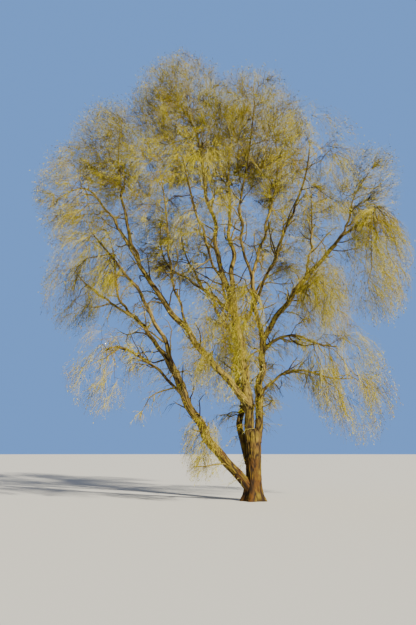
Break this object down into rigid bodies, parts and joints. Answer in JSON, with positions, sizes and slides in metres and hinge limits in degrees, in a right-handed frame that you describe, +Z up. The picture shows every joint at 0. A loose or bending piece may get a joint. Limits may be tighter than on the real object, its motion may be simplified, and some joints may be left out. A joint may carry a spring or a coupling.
{
  "type": "weeping willow tree",
  "caption": "Weeping willow in early spring: forked trunk, leaning stem, arching boughs, and masses of fine golden twigs that stand up in the top and hang in curtains at the sides.",
  "frame": {"origin": "middle of the trunk's flat cut at ground level", "axes": "+Z up, +X to the right and -Y towards someone who looks at the tree from the picture's side"},
  "size_m": [13.6651, 11.9486, 16.7028],
  "materials": {
    "trunk_bark": "warm brown bark with deep upright fissures",
    "bough_bark": "olive-gold bark with shallow fissures",
    "leafy_twigs": "fine golden twigs with small new leaves"
  },
  "bodies": {
    "root": {"trunk": "trunk_bark", "west_leader": "bough_bark", "east_leader": "bough_bark", "west_rise": "bough_bark", "centre_rise": "bough_bark", "east_stem": "bough_bark", "inner_rise": "bough_bark", "outer_rise": "bough_bark", "east_bough": "bough_bark", "east_reach": "bough_bark", "east_upright": "bough_bark", "east_inner_rise": "bough_bark", "low_east_bough": "bough_bark", "lower_east_bough": "bough_bark", "west_bough": "bough_bark", "west_bough_upper": "bough_bark", "west_crest_bough": "bough_bark", "far_west_bough": "bough_bark", "west_inner_rise": "bough_bark", "west_arch": "bough_bark", "leaning_stem": "bough_bark", "leaning_front": "bough_bark", "leaning_fork": "bough_bark", "leaning_rise": "bough_bark", "leaning_reach": "bough_bark", "low_west_bough": "bough_bark", "back_stem": "bough_bark", "back_west_bough": "bough_bark", "back_east_bough": "bough_bark", "back_low_bough": "bough_bark", "north_east_bough": "bough_bark", "front_west_bough": "bough_bark", "front_east_bough": "bough_bark", "front_low_bough": "bough_bark", "top_west_crown": "leafy_twigs", "top_centre_crown": "leafy_twigs", "top_front_crown": "leafy_twigs", "top_east_crown": "leafy_twigs", "east_curtain": "leafy_twigs", "east_crest": "leafy_twigs", "east_inner_crown": "leafy_twigs", "low_east_curtain": "leafy_twigs", "lowest_east_curtain": "leafy_twigs", "west_crest": "leafy_twigs", "far_west_curtain": "leafy_twigs", "west_front_crown": "leafy_twigs", "west_back_crown": "leafy_twigs", "leaning_curtain": "leafy_twigs", "leaning_crown": "leafy_twigs", "far_west_skirt": "leafy_twigs", "low_west_curtain": "leafy_twigs", "back_west_crown": "leafy_twigs", "back_east_crown": "leafy_twigs", "back_curtain": "leafy_twigs", "north_east_curtain": "leafy_twigs", "front_west_crown": "leafy_twigs", "front_east_crown": "leafy_twigs", "front_curtain": "leafy_twigs", "foot_sprays": "leafy_twigs", "east_bough_curtain": "leafy_twigs"}
  },
  "joints": []
}
